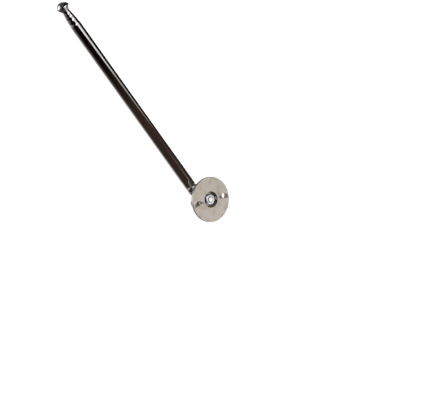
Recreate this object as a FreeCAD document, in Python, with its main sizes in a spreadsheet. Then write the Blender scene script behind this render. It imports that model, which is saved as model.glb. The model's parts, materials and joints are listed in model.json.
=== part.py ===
import FreeCAD, Part
import Sketcher
import math
import os

# One telescopic rod antenna on a swivel foot, as it stands on the back of a set.
# +Z is up and +Y points out of the panel that carries the foot. The origin is the
# centre of the foot's mounting face, on the swivel's axis. Lengths are millimetres.

# Driving dimensions: alias, value, what it sets.
SIZES = (
    # Pose of the mast as it was put
    ("lean", 24.4, "degrees the mast leans to -X from upright, about the swivel"),
    ("tilt", 7.0, "degrees the mast is tilted away from the panel, about the pivot"),
    # Tubes of the mast
    ("tube_diameter", 8.0, "outside of the outer tube"),
    ("tube_wall", 0.18, "wall of each tube"),
    ("rod_wall", 0.4, "wall of the innermost section"),
    ("outer_length", 149.6, "outer tube, end to end"),
    ("step_2", 3.6, "second tube stands above the outer one when pushed in"),
    ("step_3", 3.0, "third tube above the second"),
    ("step_4", 2.4, "fourth tube above the third"),
    ("step_5", 3.6, "fifth tube above the fourth"),
    ("mouth_length", 2.0, "stretch of a tube's top that is swaged in"),
    ("mouth_lip", 0.04, "flat rim left at the top of a swaged mouth"),
    ("mouth_land", 0.3, "straight stretch of the lip that guides the next section"),
    ("mouth_clearance", 0.06, "radial, between a lip and the section in it"),
    ("rest_gap", 0.3, "under a section that is pushed right in"),
    # Contact springs, two half-round leaves at the foot of each sliding section
    ("leaf_length", 7.0, "along the mast"),
    ("leaf_thickness", 0.09, "spring strip"),
    ("leaf_seat", 0.01, "radial, between a leaf and its own tube"),
    ("leaf_clearance", 0.04, "radial, between a leaf and the tube it slides in"),
    ("leaf_spread", 160.0, "degrees round the tube that one leaf covers"),
    ("leaf_rise", 0.5, "from the section's lower end to its leaves"),
    ("peg_diameter", 1.2, "peg of a leaf that sits in the tube's hole"),
    ("peg_clearance", 0.04, "radial, round the peg"),
    # Tip cap
    ("cap_diameter", 9.5, "at its widest"),
    ("cap_neck", 0.14, "wall of the cap at its foot, round the well"),
    ("cap_neck_height", 0.1, "straight part of the neck"),
    ("cap_skirt", 2.7, "height of the flared underside"),
    ("cap_band", 0.1, "height of the straight band at the rim"),
    ("cap_shoulder", 2.1, "radius from the band into the crown"),
    ("cap_turn", 25.0, "degrees that the shoulder turns before the crown"),
    ("cap_well", 2.3, "depth of the well that goes over the last tube's mouth"),
    ("cap_well_clearance", 0.06, "radial, between that tube and the well"),
    ("cap_socket", 3.0, "depth of the cap's hole for the rod, above the well"),
    ("cap_fit", 0.01, "radial, between the rod and the cap"),
    ("cap_gap", 0.3, "between the last mouth and the well when the mast is pushed in"),
    # Knuckle plug in the foot of the outer tube
    ("tongue_thickness", 3.0, "flat tongue between the fork's ears"),
    ("tongue_width", 6.0, "and diameter of its round end"),
    ("collar_clearance", 0.5, "from the fork's round top to the collar"),
    ("collar_height", 2.5, "collar that the outer tube stands on"),
    ("collar_edge", 0.4, "bevel on the collar's lower edge"),
    ("spigot_length", 6.0, "plug inside the outer tube"),
    ("spigot_fit", 0.02, "radial, between the plug and the tube"),
    ("crimp_half", 0.8, "half the width of the groove rolled into the tube"),
    ("crimp_depth", 0.25, "depth of that groove"),
    # Fork
    ("fork_diameter", 12.0, "turned body of the fork"),
    ("fork_floor", 3.5, "metal under the slot"),
    ("fork_edge", 0.4, "bevel on the fork's lower edge"),
    ("ear_thickness", 3.05, "each ear, between the slot and its flat"),
    ("flat_margin", 1.5, "of a flat past the screw's head"),
    ("floor_clearance", 0.4, "between the tongue's end and the slot's floor"),
    ("turn_clearance", 0.03, "between faces that turn on each other"),
    ("stem_diameter", 4.0, "threaded stem of the fork"),
    ("stem_proud", 0.3, "of the stem past its nut"),
    ("stem_bevel", 0.3, "at the stem's end"),
    # Pivot screw and what is on it
    ("screw_diameter", 3.0, "shank"),
    ("screw_clearance", 0.05, "radial, round the shank"),
    ("thread_clearance", 0.01, "radial, in a nut"),
    ("head_diameter", 5.5, "of the slotted head and of the washer under it"),
    ("head_height", 1.9, "of the slotted head"),
    ("head_edge", 0.4, "rounding of the head"),
    ("slot_width", 0.8, "of the screwdriver slot"),
    ("slot_depth", 0.9, "of the screwdriver slot"),
    ("screw_proud", 0.6, "of the shank past its nut"),
    ("screw_bevel", 0.3, "at the shank's end"),
    ("friction_thickness", 0.4, "washers beside the tongue"),
    ("cone_thickness", 0.3, "strip of the spring washer under the head"),
    ("cone_dish", 0.25, "height that it is dished"),
    ("pivot_nut_flats", 5.5, "across flats"),
    ("pivot_nut_height", 2.4, "along the screw"),
    ("nut_bevel", 0.35, "height of the turned corners of a nut"),
    # Foot
    ("foot_flange", 2.6, "thickness of the rosette's flange"),
    ("foot_rounding", 1.0, "outer edge of the flange"),
    ("foot_margin", 1.6, "of the flange past a countersink"),
    ("boss_wall", 1.6, "round the recess"),
    ("boss_root", 1.0, "fillet at the boss's root"),
    ("boss_rounding", 0.8, "at the boss's top"),
    ("web", 2.0, "metal between the recess and the boss's top"),
    ("recess_clearance", 0.86, "radial, round the terminal's tail"),
    ("back_clearance", 0.3, "from the mounting face to the stem's end"),
    ("fixing_diameter", 3.4, "of a fixing hole"),
    ("fixing_sink", 6.2, "diameter of its countersink"),
    ("fixing_margin", 0.2, "between a countersink and the boss's root"),
    ("sink_angle", 90.0, "degrees of the countersink"),
    ("bush_wall", 0.95, "bush between the stem and the rosette"),
    ("bush_fit", 0.02, "radial, between the bush and the rosette"),
    ("bush_clearance", 0.05, "radial, round the stem"),
    ("bush_inset", 0.3, "of the bush's collar inside the fork's edge"),
    ("bush_collar_height", 0.6, "thickness of the bush's collar"),
    # Terminal, washers and nut in the recess
    ("washer_diameter", 7.6, "rings on the stem"),
    ("washer_clearance", 0.1, "radial, between those rings and the stem"),
    ("washer_thickness", 0.5, "flat washer"),
    ("wave_thickness", 0.3, "strip of the bowed spring washer"),
    ("wave_bow", 0.25, "height that it is bowed"),
    ("lug_thickness", 0.4, "strip of the solder tag"),
    ("tail_width", 2.6, "turned-down tail of the tag"),
    ("tail_clearance", 0.5, "between the nut's corners and the tail"),
    ("eye_width", 1.0, "oblong eye for the lead"),
    ("eye_length", 1.8, "of that eye, end to end"),
    ("eye_margin", 0.6, "from the tail's end to the eye"),
    ("stem_nut_flats", 7.0, "across flats"),
    ("stem_nut_height", 1.9, "along the stem"),
)
TUBES = 5
SECTIONS = TUBES + 1

doc = FreeCAD.newDocument("antenna")
sheet = doc.addObject("Spreadsheet::Sheet", "Sizes")
for row, (alias, size, meaning) in enumerate(SIZES, start=1):
    sheet.set(f"A{row}", meaning)
    sheet.set(f"B{row}", str(size))
    sheet.setAlias(f"B{row}", alias)
doc.recompute()

# Places that several pieces share, in the terms of the sheet.
# Outward from the mounting face, on the swivel's axis:
STEM_END = "Sizes.back_clearance"
STEM_NUT_FOOT = f"({STEM_END} + Sizes.stem_proud)"
WASHER_FOOT = f"({STEM_NUT_FOOT} + Sizes.stem_nut_height)"
WAVE_FOOT = f"({WASHER_FOOT} + Sizes.washer_thickness)"
WAVE_TOP = f"({WAVE_FOOT} + Sizes.wave_thickness + Sizes.wave_bow)"
LUG_FACE = f"({WAVE_TOP} + Sizes.turn_clearance)"
WEB_BACK = f"({LUG_FACE} + Sizes.lug_thickness)"
BOSS_TOP = f"({WEB_BACK} + Sizes.web)"
COLLAR_TOP = f"({BOSS_TOP} + Sizes.bush_collar_height)"
FORK_SEAT = f"({COLLAR_TOP} + Sizes.turn_clearance)"
SLOT_FLOOR = f"({FORK_SEAT} + Sizes.fork_floor)"
PIVOT = f"({SLOT_FLOOR} + Sizes.floor_clearance + Sizes.tongue_width / 2)"
# Across the stem:
STEM_RADIUS = "(Sizes.stem_diameter / 2)"
RING_BORE = f"({STEM_RADIUS} + Sizes.washer_clearance)"
RING_RADIUS = "(Sizes.washer_diameter / 2)"
NUT_CORNER = "(Sizes.stem_nut_flats / 2 / cos(30))"
TAIL_INSIDE = f"({NUT_CORNER} + Sizes.tail_clearance)"
TAIL_OUTSIDE = f"({TAIL_INSIDE} + Sizes.lug_thickness)"
RECESS_RADIUS = f"({TAIL_OUTSIDE} + Sizes.recess_clearance)"
BOSS_RADIUS = f"({RECESS_RADIUS} + Sizes.boss_wall)"
BUSH_RADIUS = f"({STEM_RADIUS} + Sizes.bush_clearance + Sizes.bush_wall)"
FIXING_REACH = (
    f"({BOSS_RADIUS} + Sizes.boss_root + Sizes.fixing_margin + Sizes.fixing_sink / 2)"
)
FOOT_RADIUS = f"({FIXING_REACH} + Sizes.fixing_sink / 2 + Sizes.foot_margin)"
# Along the pivot, from the middle of the tongue:
SLOT_HALF = (
    "(Sizes.tongue_thickness / 2 + Sizes.turn_clearance + Sizes.friction_thickness)"
)
FLAT = f"({SLOT_HALF} + Sizes.ear_thickness)"
SHANK_RADIUS = "(Sizes.screw_diameter / 2)"
SHANK_HOLE = f"({SHANK_RADIUS} + Sizes.screw_clearance)"
HEAD_SEAT = f"({FLAT} + Sizes.cone_thickness + Sizes.cone_dish)"
PIVOT_NUT_FOOT = f"(-{FLAT} - Sizes.pivot_nut_height)"
SCREW_END = f"({PIVOT_NUT_FOOT} - Sizes.screw_proud)"
# Along the mast, from the pivot:
STEP = (
    "(Sizes.tube_wall + Sizes.leaf_seat + Sizes.leaf_thickness + Sizes.leaf_clearance)"
)
COLLAR_FOOT = "(Sizes.fork_diameter / 2 + Sizes.collar_clearance)"
TUBE_FOOT = f"({COLLAR_FOOT} + Sizes.collar_height)"
CRIMP = f"({TUBE_FOOT} + Sizes.spigot_length / 2)"
SPIGOT_TOP = f"({TUBE_FOOT} + Sizes.spigot_length)"
SECTION_FOOT = f"({SPIGOT_TOP} + Sizes.rest_gap)"
LEAF_FOOT = f"({SECTION_FOOT} + Sizes.leaf_rise)"
PEG_HEIGHT = f"({LEAF_FOOT} + Sizes.leaf_length / 2)"

# Frames: square to the panel, on the swivelled fork, along the pivot and up the mast.
SWIVELLED = "rotation(vector(0; 1; 0); -Sizes.lean)"
FOOT_FRAME = "placement(vector(0; 0; 0); rotation(vector(1; 0; 0); -90))"
FORK_FRAME = f"placement(vector(0; 0; 0); {SWIVELLED}) * {FOOT_FRAME}"
PIVOT_FRAME = (
    f"{FORK_FRAME} * placement(vector(0; 0; {PIVOT}); rotation(vector(0; 1; 0); 90))"
)
MAST_FRAME = (
    f"placement(vector(0; {PIVOT}; 0); {SWIVELLED})"
    " * placement(vector(0; 0; 0); rotation(vector(1; 0; 0); -Sizes.tilt))"
)


def value(expression):
    """Work out an expression on the driving dimensions."""
    return float(sheet.evalExpression(str(expression)))


def tube_radius(section):
    """Outside radius of a section, 1 being the outer tube."""
    return f"(Sizes.tube_diameter / 2 - {section - 1} * {STEP})"


def tube_top(section):
    """Height of a tube's mouth over the pivot, with the mast pushed in."""
    steps = "".join(f" + Sizes.step_{number}" for number in range(2, section + 1))
    return f"({TUBE_FOOT} + Sizes.outer_length{steps})"


WELL_TOP = f"({tube_top(TUBES)} + Sizes.cap_gap)"
CAP_FOOT = f"({WELL_TOP} - Sizes.cap_well)"


def new_body(name, frame):
    body = doc.addObject("PartDesign::Body", name)
    body.Label = name
    body.AllowCompound = True
    body.setExpression("Placement", frame)
    return body


def origin_feature(body, role):
    """One of the body's own planes or axes."""
    features = body.Origin.OriginFeatures
    return next(feature for feature in features if feature.Role == role)


def new_sketch(body, name, plane, offset=None):
    """An empty sketch on one of the body's own planes, or set off from it."""
    sketch = body.newObject("Sketcher::SketchObject", f"{body.Name}_{name}")
    sketch.AttachmentSupport = (origin_feature(body, plane), [""])
    sketch.MapMode = "FlatFace"
    if offset is not None:
        sketch.setExpression("AttachmentOffset.Base.z", offset)
    return sketch


def hold(sketch, kind, geometry, size):
    """Set one size of a piece of the sketch to an expression."""
    number = sketch.addConstraint(Sketcher.Constraint(kind, *geometry, value(size)))
    sketch.setExpression(f"Constraints[{number}]", str(size))


def arc_between(start, end, radius, turn):
    """The short arc from start to end; turn is 1 if it goes anticlockwise, else -1."""
    chord = end - start
    half = chord.Length / 2
    rise = math.sqrt(max(radius**2 - half**2, 0.0))
    left = FreeCAD.Vector(-chord.y, chord.x, 0).normalize()
    centre = (start + end) / 2 + left * (rise * turn)
    first, last = (start, end) if turn > 0 else (end, start)
    first_angle = math.atan2(first.y - centre.y, first.x - centre.x)
    last_angle = math.atan2(last.y - centre.y, last.x - centre.x)
    if last_angle < first_angle:
        last_angle += 2 * math.pi
    whole = Part.Circle(centre, FreeCAD.Vector(0, 0, 1), radius)
    return Part.ArcOfCircle(whole, first_angle, last_angle)


def outline(sketch, corners):
    """Close a run of corners, each held by its two distances from the sketch's centre.

    A corner of four values starts an arc: its radius and its turn follow the place.
    """
    points = [FreeCAD.Vector(value(corner[0]), value(corner[1]), 0) for corner in corners]
    ends = []
    for index, corner in enumerate(corners):
        start, end = points[index], points[(index + 1) % len(points)]
        if len(corner) == 2:
            edge = sketch.addGeometry(Part.LineSegment(start, end))
            ends.append((edge, 1, 2))
        else:
            radius, turn = corner[2], corner[3]
            edge = sketch.addGeometry(arc_between(start, end, value(radius), turn))
            ends.append((edge, 1, 2) if turn > 0 else (edge, 2, 1))
    for index, (edge, _, last) in enumerate(ends):
        following, first, _ = ends[(index + 1) % len(ends)]
        sketch.addConstraint(Sketcher.Constraint("Coincident", edge, last, following, first))
    for (edge, first, _), corner in zip(ends, corners):
        hold(sketch, "DistanceX", (-1, 1, edge, first), corner[0])
        hold(sketch, "DistanceY", (-1, 1, edge, first), corner[1])
        if len(corner) > 2:
            hold(sketch, "Radius", (edge,), corner[2])


def circle(sketch, across, up, diameter):
    """A circle held by its centre and its diameter."""
    centre = FreeCAD.Vector(value(across), value(up), 0)
    axis = FreeCAD.Vector(0, 0, 1)
    edge = sketch.addGeometry(Part.Circle(centre, axis, value(diameter) / 2))
    hold(sketch, "DistanceX", (-1, 1, edge, 3), across)
    hold(sketch, "DistanceY", (-1, 1, edge, 3), up)
    hold(sketch, "Diameter", (edge,), diameter)


def turned(body, name, corners, cut=False):
    """Turn an outline about the body's long axis, to add metal or to cut it."""
    sketch = new_sketch(body, f"{name}_outline", "XZ_Plane")
    outline(sketch, corners)
    kind = "PartDesign::Groove" if cut else "PartDesign::Revolution"
    feature = body.newObject(kind, f"{body.Name}_{name}")
    feature.Profile = sketch
    feature.ReferenceAxis = (sketch, ["V_Axis"])
    feature.Angle = 360
    sketch.Visibility = False
    return feature


def padded(body, sketch, name, length, both_ways=False):
    feature = body.newObject("PartDesign::Pad", f"{body.Name}_{name}")
    feature.Profile = sketch
    feature.setExpression("Length", length)
    if both_ways:
        feature.SideType = "Symmetric"
    sketch.Visibility = False
    return feature


def cut_through(body, sketch, name):
    """Cut a sketch's outline right through the body, both ways."""
    feature = body.newObject("PartDesign::Pocket", f"{body.Name}_{name}")
    feature.Profile = sketch
    feature.SideType = "Symmetric"
    feature.Type = "ThroughAll"
    sketch.Visibility = False
    return feature


def rectangle(left, low, right, high):
    return ((left, low), (right, low), (right, high), (left, high))


def ring(name, frame, inner, outer, low, high):
    """A flat ring with square edges."""
    body = new_body(name, frame)
    turned(body, "ring", rectangle(inner, low, outer, high))
    return body


def hex_nut(name, frame, flats, bore, low, height):
    """A hexagon nut whose corners are turned off at both ends."""
    body = new_body(name, frame)
    sketch = new_sketch(body, "hexagon", "XY_Plane", low)
    corner = f"({flats} / 2 / cos(30))"
    outline(sketch, [
        (f"{corner} * cos({angle})", f"{corner} * sin({angle})")
        for angle in range(0, 360, 60)
    ])
    padded(body, sketch, "prism", height)
    sketch = new_sketch(body, "bore", "XY_Plane")
    circle(sketch, 0, 0, f"2 * ({bore})")
    cut_through(body, sketch, "bore_cut")
    edge = f"({flats} / 2)"
    beyond = f"({corner} + Sizes.nut_bevel)"
    high = f"({low} + {height})"
    turned(body, "top_bevel", (
        (edge, high),
        (beyond, f"{high} - Sizes.nut_bevel * ({beyond} - {edge}) / ({corner} - {edge})"),
        (beyond, high),
    ), cut=True)
    turned(body, "foot_bevel", (
        (edge, low),
        (beyond, low),
        (beyond, f"{low} + Sizes.nut_bevel * ({beyond} - {edge}) / ({corner} - {edge})"),
    ), cut=True)
    return body


def rosette():
    """Round foot: flange, raised boss, recess behind it and two countersunk holes."""
    body = new_body("rosette", FOOT_FRAME)
    flange = "Sizes.foot_flange"
    turned(body, "profile", (
        (BUSH_RADIUS, WEB_BACK),
        (RECESS_RADIUS, WEB_BACK),
        (RECESS_RADIUS, 0),
        (FOOT_RADIUS, 0),
        (FOOT_RADIUS, f"{flange} - Sizes.foot_rounding", "Sizes.foot_rounding", 1),
        (f"{FOOT_RADIUS} - Sizes.foot_rounding", flange),
        (f"{BOSS_RADIUS} + Sizes.boss_root", flange, "Sizes.boss_root", -1),
        (BOSS_RADIUS, f"{flange} + Sizes.boss_root"),
        (BOSS_RADIUS, f"{BOSS_TOP} - Sizes.boss_rounding", "Sizes.boss_rounding", 1),
        (f"{BOSS_RADIUS} - Sizes.boss_rounding", BOSS_TOP),
        (BUSH_RADIUS, BOSS_TOP),
    ))
    sketch = new_sketch(body, "fixing_centres", "XY_Plane", flange)
    for side in (-1, 1):
        circle(sketch, f"{side} * {FIXING_REACH}", 0, "Sizes.fixing_diameter")
    doc.recompute()
    holes = body.newObject("PartDesign::Hole", "rosette_fixing_holes")
    holes.Profile = sketch
    holes.DepthType = "ThroughAll"
    holes.HoleCutType = "Countersink"
    holes.HoleCutCustomValues = True
    holes.setExpression("Diameter", "Sizes.fixing_diameter")
    holes.setExpression("HoleCutDiameter", "Sizes.fixing_sink")
    holes.setExpression("HoleCutCountersinkAngle", "Sizes.sink_angle")
    sketch.Visibility = False
    return body


def swivel_bush():
    """Plain bearing of the stem, with a collar that the fork turns on."""
    body = new_body("swivel_bush", FOOT_FRAME)
    bore = f"{STEM_RADIUS} + Sizes.bush_clearance"
    outside = f"{BUSH_RADIUS} - Sizes.bush_fit"
    collar = "Sizes.fork_diameter / 2 - Sizes.bush_inset"
    turned(body, "profile", (
        (bore, WEB_BACK),
        (outside, WEB_BACK),
        (outside, BOSS_TOP),
        (collar, BOSS_TOP),
        (collar, COLLAR_TOP),
        (bore, COLLAR_TOP),
    ))
    return body


def solder_lug():
    """Ring tag under the web, with its tail turned down and an oblong eye in it."""
    body = new_body("solder_lug", FOOT_FRAME)
    turned(body, "ring", rectangle(RING_BORE, LUG_FACE, RING_RADIUS, WEB_BACK))
    root = f"{RING_RADIUS} - Sizes.lug_thickness"
    sketch = new_sketch(body, "tail", "XZ_Plane")
    outline(sketch, (
        (root, LUG_FACE),
        (TAIL_INSIDE, LUG_FACE),
        (TAIL_INSIDE, STEM_END),
        (TAIL_OUTSIDE, STEM_END),
        (TAIL_OUTSIDE, WEB_BACK),
        (root, WEB_BACK),
    ))
    padded(body, sketch, "tail_strip", "Sizes.tail_width", both_ways=True)
    half = "(Sizes.eye_width / 2)"
    low = f"({STEM_END} + Sizes.eye_margin + {half})"
    high = f"({STEM_END} + Sizes.eye_margin + Sizes.eye_length - {half})"
    sketch = new_sketch(body, "eye", "YZ_Plane")
    outline(sketch, (
        (f"-{half}", low, half, 1),
        (0, f"{low} - {half}", half, 1),
        (half, low),
        (half, high, half, 1),
        (0, f"{high} + {half}", half, 1),
        (f"-{half}", high),
    ))
    cut_through(body, sketch, "eye_cut")
    return body


def wave_washer():
    """Ring cut from a bowed strip, which loads the swivel."""
    body = new_body("wave_washer", FORK_FRAME)
    inner = f"(({RING_RADIUS}^2 + Sizes.wave_bow^2) / (2 * Sizes.wave_bow))"
    outer = f"({inner} + Sizes.wave_thickness)"
    centre = f"({WAVE_TOP} - {outer})"
    edge_low = f"({centre} + sqrt({inner}^2 - {RING_RADIUS}^2))"
    edge_high = f"({centre} + sqrt({outer}^2 - {RING_RADIUS}^2))"
    sketch = new_sketch(body, "bow", "XZ_Plane")
    outline(sketch, (
        (f"-{RING_RADIUS}", edge_low, inner, -1),
        (RING_RADIUS, edge_low),
        (RING_RADIUS, edge_high, outer, 1),
        (f"-{RING_RADIUS}", edge_high),
    ))
    padded(body, sketch, "strip", "Sizes.washer_diameter", both_ways=True)
    sketch = new_sketch(body, "ring", "XY_Plane")
    circle(sketch, 0, 0, f"2 * {RING_BORE}")
    circle(sketch, 0, 0, "Sizes.washer_diameter")
    circle(sketch, 0, 0, "2 * Sizes.washer_diameter")
    cut_through(body, sketch, "ring_cut")
    return body


def swivel_fork():
    """Turned fork: threaded stem, seat, two ears round the tongue and their flats."""
    body = new_body("swivel_fork", FORK_FRAME)
    outside = "(Sizes.fork_diameter / 2)"
    turned(body, "profile", (
        (0, STEM_END),
        (f"{STEM_RADIUS} - Sizes.stem_bevel", STEM_END),
        (STEM_RADIUS, f"{STEM_END} + Sizes.stem_bevel"),
        (STEM_RADIUS, FORK_SEAT),
        (f"{outside} - Sizes.fork_edge", FORK_SEAT),
        (outside, f"{FORK_SEAT} + Sizes.fork_edge"),
        (outside, PIVOT, outside, 1),
        (0, f"{PIVOT} + {outside}"),
    ))
    top = f"{PIVOT} + Sizes.fork_diameter"
    sketch = new_sketch(body, "slot", "XZ_Plane")
    outline(sketch, rectangle(f"-{SLOT_HALF}", SLOT_FLOOR, SLOT_HALF, top))
    cut_through(body, sketch, "slot_cut")
    low = f"{PIVOT} - Sizes.head_diameter / 2 - Sizes.flat_margin"
    for side, left, right in (
        ("near", FLAT, f"{FLAT} + Sizes.fork_diameter"),
        ("far", f"-{FLAT} - Sizes.fork_diameter", f"-{FLAT}"),
    ):
        sketch = new_sketch(body, f"{side}_flat", "XZ_Plane")
        outline(sketch, rectangle(left, low, right, top))
        cut_through(body, sketch, f"{side}_flat_cut")
    sketch = new_sketch(body, "pivot_hole", "YZ_Plane")
    circle(sketch, 0, PIVOT, f"2 * {SHANK_HOLE}")
    cut_through(body, sketch, "pivot_hole_cut")
    return body


def pivot_screw():
    """Slotted screw through both ears and the tongue."""
    body = new_body("pivot_screw", PIVOT_FRAME)
    head = "Sizes.head_diameter / 2"
    top = f"({HEAD_SEAT} + Sizes.head_height)"
    turned(body, "profile", (
        (0, SCREW_END),
        (f"{SHANK_RADIUS} - Sizes.screw_bevel", SCREW_END),
        (SHANK_RADIUS, f"{SCREW_END} + Sizes.screw_bevel"),
        (SHANK_RADIUS, HEAD_SEAT),
        (head, HEAD_SEAT),
        (head, f"{top} - Sizes.head_edge", "Sizes.head_edge", 1),
        (f"{head} - Sizes.head_edge", top),
        (0, top),
    ))
    half = "Sizes.slot_width / 2"
    sketch = new_sketch(body, "driver_slot", "XZ_Plane")
    outline(sketch, rectangle(
        f"-{half}", f"{top} - Sizes.slot_depth", half, f"{top} + Sizes.slot_depth"
    ))
    cut_through(body, sketch, "driver_slot_cut")
    return body


def pivot_spring_washer():
    """Dished washer under the screw's head."""
    body = new_body("pivot_spring_washer", PIVOT_FRAME)
    outer = "Sizes.head_diameter / 2"
    turned(body, "profile", (
        (SHANK_HOLE, f"{FLAT} + Sizes.cone_dish"),
        (outer, FLAT),
        (outer, f"{FLAT} + Sizes.cone_thickness"),
        (SHANK_HOLE, f"{FLAT} + Sizes.cone_dish + Sizes.cone_thickness"),
    ))
    return body


def friction_washers():
    """Two washers, one each side of the tongue."""
    body = new_body("friction_washers", PIVOT_FRAME)
    outer = "Sizes.tongue_width / 2"
    for name, low, high in (
        ("near", f"{SLOT_HALF} - Sizes.friction_thickness", SLOT_HALF),
        ("far", f"-{SLOT_HALF}", f"-{SLOT_HALF} + Sizes.friction_thickness"),
    ):
        turned(body, name, rectangle(SHANK_HOLE, low, outer, high))
    return body


def crimp(radius, up):
    """Two corners of the rolled groove: it bows toward the axis from a wall of this radius."""
    bend = "((Sizes.crimp_half^2 + Sizes.crimp_depth^2) / (2 * Sizes.crimp_depth))"
    low = f"{CRIMP} - Sizes.crimp_half"
    high = f"{CRIMP} + Sizes.crimp_half"
    if up:
        return [(radius, low, bend, -1), (radius, high)]
    return [(radius, high, bend, 1), (radius, low)]


def knuckle_plug():
    """Tongue on the pivot, collar under the outer tube and the plug crimped inside it."""
    body = new_body("knuckle_plug", MAST_FRAME)
    spigot = "(Sizes.tube_diameter / 2 - Sizes.tube_wall - Sizes.spigot_fit)"
    collar = "Sizes.tube_diameter / 2"
    bevel_top = f"{COLLAR_FOOT} + Sizes.collar_edge"
    turned(body, "plug", [
        (0, COLLAR_FOOT),
        (f"{collar} - Sizes.collar_edge", COLLAR_FOOT),
        (collar, bevel_top),
        (collar, TUBE_FOOT),
        (spigot, TUBE_FOOT),
        *crimp(spigot, up=True),
        (spigot, SPIGOT_TOP),
        (0, SPIGOT_TOP),
    ])
    half = "Sizes.tongue_width / 2"
    sketch = new_sketch(body, "tongue", "YZ_Plane")
    outline(sketch, (
        (f"-{half}", 0, half, 1),
        (0, f"-{half}", half, 1),
        (half, 0),
        (half, bevel_top),
        (f"-{half}", bevel_top),
    ))
    padded(body, sketch, "tongue_plate", "Sizes.tongue_thickness", both_ways=True)
    sketch = new_sketch(body, "pivot_hole", "YZ_Plane")
    circle(sketch, 0, 0, f"2 * {SHANK_HOLE}")
    cut_through(body, sketch, "pivot_hole_cut")
    return body


def peg_holes(body):
    """Cut the two holes that the pegs of the contact springs sit in."""
    sketch = new_sketch(body, "peg_holes", "YZ_Plane")
    circle(sketch, 0, PEG_HEIGHT, "Sizes.peg_diameter + 2 * Sizes.peg_clearance")
    cut_through(body, sketch, "peg_holes_cut")


def tube(section):
    """Drawn tube with its top swaged in round the next section."""
    body = new_body(f"tube_{section}", MAST_FRAME)
    outside = tube_radius(section)
    inside = f"({outside} - Sizes.tube_wall)"
    lip = f"({tube_radius(section + 1)} + Sizes.mouth_clearance)"
    foot = TUBE_FOOT if section == 1 else SECTION_FOOT
    top = tube_top(section)
    drop = f"({outside} - {lip} - Sizes.mouth_lip)"
    bend = f"(({drop}^2 + Sizes.mouth_length^2) / (2 * {drop}))"
    shoulder = f"{top} - Sizes.mouth_length"
    turned(body, "wall", [
        (inside, foot),
        (outside, foot),
        *(crimp(outside, up=True) if section == 1 else ()),
        (outside, shoulder, bend, 1),
        (f"{lip} + Sizes.mouth_lip", top),
        (lip, top),
        (lip, f"{top} - Sizes.mouth_land"),
        (inside, shoulder),
        *(crimp(inside, up=False) if section == 1 else ()),
    ])
    if section > 1:
        peg_holes(body)
    return body


def inner_rod():
    """Innermost section, which carries the cap."""
    body = new_body("inner_rod", MAST_FRAME)
    outside = tube_radius(SECTIONS)
    top = f"{WELL_TOP} + Sizes.cap_socket"
    turned(body, "wall", rectangle(f"{outside} - Sizes.rod_wall", SECTION_FOOT, outside, top))
    peg_holes(body)
    return body


def contact_springs(section):
    """Two half-round leaves that hold a section by friction in the tube round it."""
    body = new_body(f"contact_springs_{section}", MAST_FRAME)
    inner = f"({tube_radius(section)} + Sizes.leaf_seat)"
    outer = f"({inner} + Sizes.leaf_thickness)"
    wall = "Sizes.rod_wall" if section == SECTIONS else "Sizes.tube_wall"
    across = "cos(Sizes.leaf_spread / 2)"
    round_to = "sin(Sizes.leaf_spread / 2)"
    sketch = new_sketch(body, "leaf", "XY_Plane", LEAF_FOOT)
    outline(sketch, (
        (f"{outer} * {across}", f"-{outer} * {round_to}", outer, 1),
        (f"{outer} * {across}", f"{outer} * {round_to}"),
        (f"{inner} * {across}", f"{inner} * {round_to}", inner, -1),
        (f"{inner} * {across}", f"-{inner} * {round_to}"),
    ))
    leaf = padded(body, sketch, "leaf_strip", "Sizes.leaf_length")
    start = f"({tube_radius(section)} - {wall})"
    sketch = new_sketch(body, "peg", "YZ_Plane", start)
    circle(sketch, 0, PEG_HEIGHT, "Sizes.peg_diameter")
    peg = padded(body, sketch, "peg_pin", f"{outer} - {start} - Sizes.leaf_thickness / 2")
    pair = body.newObject("PartDesign::PolarPattern", f"{body.Name}_pair")
    pair.Originals = [leaf, peg]
    pair.Axis = (origin_feature(body, "Z_Axis"), [""])
    pair.Angle = 360
    pair.Occurrences = 2
    body.Tip = pair
    return body


def tip_cap():
    """Mushroom cap: a well for the last mouth, flared underside, rim and low crown."""
    body = new_body("tip_cap", MAST_FRAME)
    socket = f"({tube_radius(SECTIONS)} + Sizes.cap_fit)"
    well = f"({tube_radius(TUBES)} + Sizes.cap_well_clearance)"
    neck = f"({well} + Sizes.cap_neck)"
    rim = "(Sizes.cap_diameter / 2)"
    skirt_foot = f"({CAP_FOOT} + Sizes.cap_neck_height)"
    rim_foot = f"({skirt_foot} + Sizes.cap_skirt)"
    rim_top = f"({rim_foot} + Sizes.cap_band)"
    crown_edge = f"({rim} - Sizes.cap_shoulder * (1 - cos(Sizes.cap_turn)))"
    crown_foot = f"({rim_top} + Sizes.cap_shoulder * sin(Sizes.cap_turn))"
    crown_radius = f"({crown_edge} / cos(Sizes.cap_turn))"
    crown_top = f"({crown_foot} + {crown_radius} * (1 - sin(Sizes.cap_turn)))"
    socket_end = f"{WELL_TOP} + Sizes.cap_socket + Sizes.cap_fit"
    turned(body, "profile", (
        (socket, WELL_TOP),
        (well, WELL_TOP),
        (well, CAP_FOOT),
        (neck, CAP_FOOT),
        (neck, skirt_foot),
        (rim, rim_foot),
        (rim, rim_top, "Sizes.cap_shoulder", 1),
        (crown_edge, crown_foot, crown_radius, 1),
        (0, crown_top),
        (0, socket_end),
        (socket, socket_end),
    ))
    return body


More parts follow.
